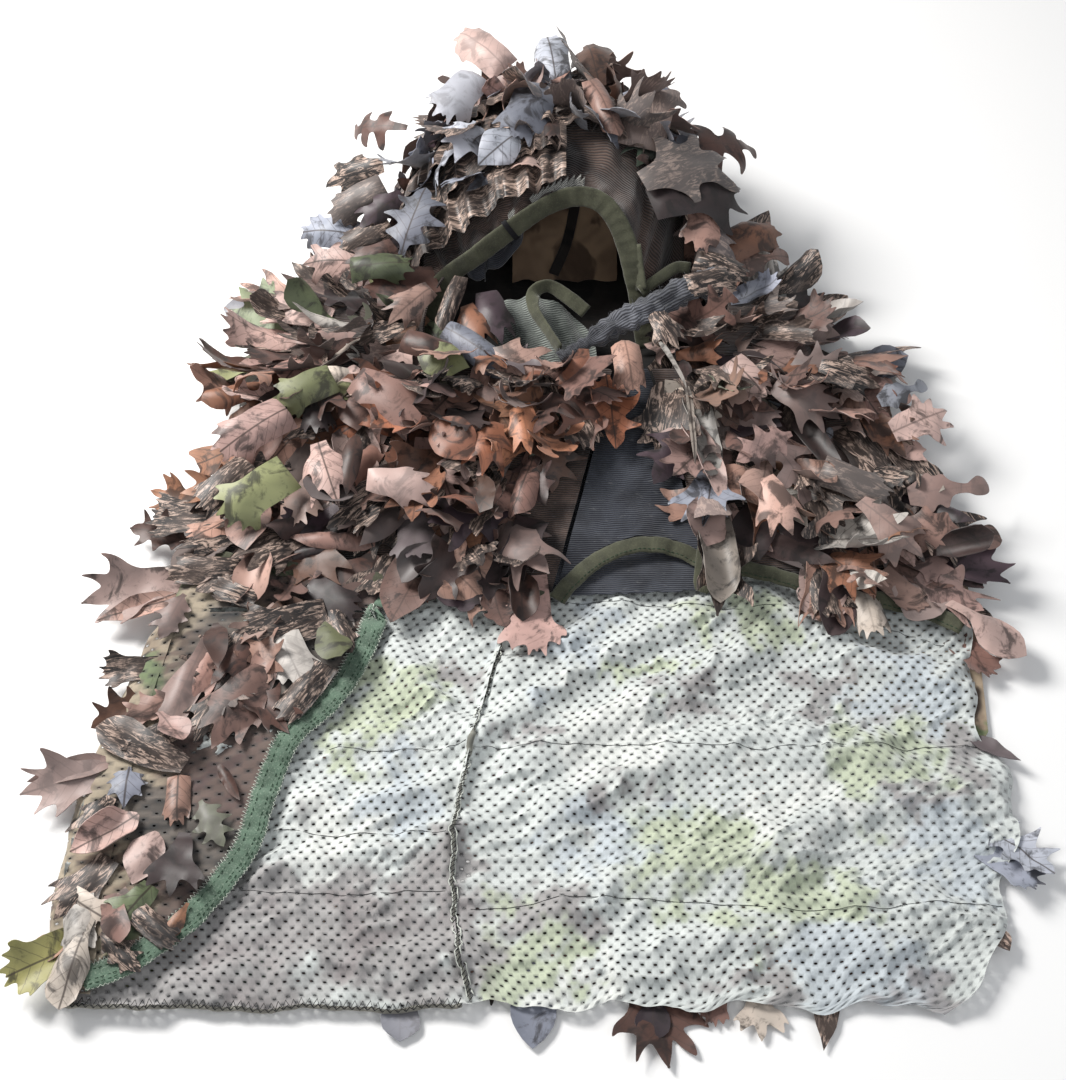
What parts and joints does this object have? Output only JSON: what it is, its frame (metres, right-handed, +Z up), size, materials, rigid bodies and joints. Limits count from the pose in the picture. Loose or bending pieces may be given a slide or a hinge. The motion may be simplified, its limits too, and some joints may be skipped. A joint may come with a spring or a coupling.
{
  "type": "ghillie suit",
  "caption": "Leaf-covered camouflage cape and hood of perforated mesh, laid on its back with the front spread, with folding front, mantle, hood and veil.",
  "frame": {"origin": "bottom centre of the whole garment as it lies on its back", "axes": "+Z up from the surface it lies on, +Y from the hem to the crown of the hood, +X to the wearer's left"},
  "size_m": [0.724, 0.976, 0.1744],
  "materials": {
    "mesh_inside": "matte",
    "mesh_outside": "matte",
    "net": "matte",
    "hood_cloth": "matte",
    "green_binding": "matte",
    "olive_binding": "matte",
    "black_thread": "matte",
    "leaf_taupe": "matte",
    "leaf_bark": "matte",
    "leaf_pale": "matte",
    "leaf_green": "matte"
  },
  "bodies": {
    "cape": {"back_leaf_strip_1": "leaf_taupe", "back_leaf_strip_2": "leaf_bark", "back_leaf_strip_3": "leaf_pale", "back_leaf_strip_4": "leaf_bark", "back_leaf_strip_5": "leaf_green", "back_panel_left": "mesh_inside", "back_panel_right": "mesh_inside", "centre_back_seam": "black_thread", "hem_overlock": "black_thread", "left_front_binding": "green_binding", "left_front_panel": "mesh_outside", "mantle_back_panel": "net", "shoulder_leaves_left": "leaf_taupe", "shoulder_leaves_right": "leaf_taupe", "shoulder_left": "hood_cloth", "shoulder_right": "hood_cloth", "side_leaves_left": "leaf_pale", "side_leaves_right": "leaf_taupe", "yoke_left": "mesh_outside", "yoke_right": "mesh_outside"},
    "hood": {"binding_tack": "black_thread", "cheek_leaves_left": "leaf_taupe", "cheek_leaves_right": "leaf_taupe", "crown_under_leaves": "leaf_taupe", "face_binding": "olive_binding", "face_binding_corner": "olive_binding", "hood_back_panel": "hood_cloth", "hood_centre_seam": "hood_cloth", "hood_cheek_left": "hood_cloth", "hood_cheek_right": "hood_cloth", "hood_leaves_back": "leaf_bark", "hood_leaves_brow": "leaf_taupe", "hood_leaves_crest": "leaf_pale", "hood_leaves_crown": "leaf_taupe", "hood_leaves_middle": "leaf_taupe", "hood_shell_left": "hood_cloth", "hood_shell_right": "hood_cloth", "inner_mesh_flap": "net", "neck_under_leaves": "leaf_taupe"},
    "mantle": {"mantle_binding_centre": "olive_binding", "mantle_binding_left": "olive_binding", "mantle_binding_right": "olive_binding", "mantle_gore": "net", "mantle_leaves_left_1": "leaf_taupe", "mantle_leaves_left_2": "leaf_pale", "mantle_leaves_left_3": "leaf_taupe", "mantle_leaves_right_1": "leaf_bark", "mantle_leaves_right_2": "leaf_taupe", "mantle_leaves_right_3": "leaf_green", "mantle_panel_left": "hood_cloth", "mantle_panel_right": "hood_cloth"},
    "front": {"right_front_binding": "green_binding", "right_front_leaves_1": "leaf_taupe", "right_front_leaves_2": "leaf_green", "right_front_leaves_3": "leaf_taupe", "right_front_leaves_4": "leaf_taupe", "right_front_panel": "mesh_outside"},
    "veil": {"veil_binding": "olive_binding", "veil_panel": "net"}
  },
  "joints": [
    {"name": "front_open", "type": "hinge", "parent": "cape", "child": "front", "pos_m": [-0.318, -0.3, 0.0125], "axis": [0, -1, 0], "range_deg": [0, 120]},
    {"name": "mantle_lift", "type": "hinge", "parent": "cape", "child": "mantle", "pos_m": [0, 0.098, 0.052], "axis": [-1, 0, 0], "range_deg": [0, 75]},
    {"name": "hood_fold", "type": "hinge", "parent": "cape", "child": "hood", "pos_m": [0.015, 0.098, 0.06], "axis": [1, 0, 0], "range_deg": [0, 55]},
    {"name": "veil_lift", "type": "hinge", "parent": "hood", "child": "veil", "pos_m": [0, 0.112, 0.02], "axis": [1, 0, 0], "range_deg": [0, 35]}
  ]
}
